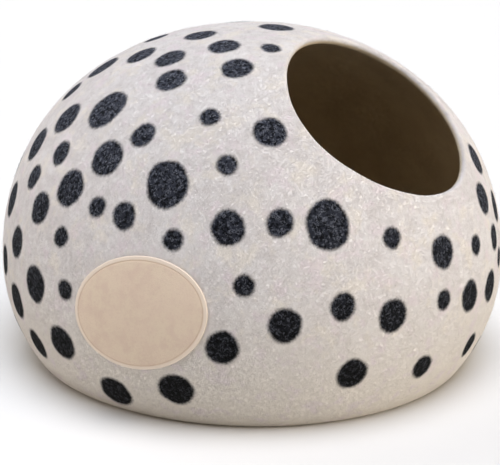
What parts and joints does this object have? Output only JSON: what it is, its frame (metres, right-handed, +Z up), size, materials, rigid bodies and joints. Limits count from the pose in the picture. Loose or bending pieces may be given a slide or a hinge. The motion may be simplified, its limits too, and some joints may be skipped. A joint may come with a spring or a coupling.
{
  "type": "felt cat cave",
  "caption": "Round hollow of thick felted wool on a flat base, with a wide slanted mouth high in its front and a bare oval leather patch on its side.",
  "frame": {"origin": "centre of the flat base, on the surface that the cave stands on", "axes": "+Z up, the mouth faces -Y and the leather patch is on the -X side"},
  "size_m": [0.4815, 0.4798, 0.3124],
  "materials": {
    "felt": "matte wool felt, off-white with soft-edged charcoal spots, brown inside",
    "leather": "natural tan leather with a rounded edge and a pressed border line"
  },
  "bodies": {
    "root": {"felt_shell": "felt", "leather_patch": "leather"}
  },
  "joints": []
}
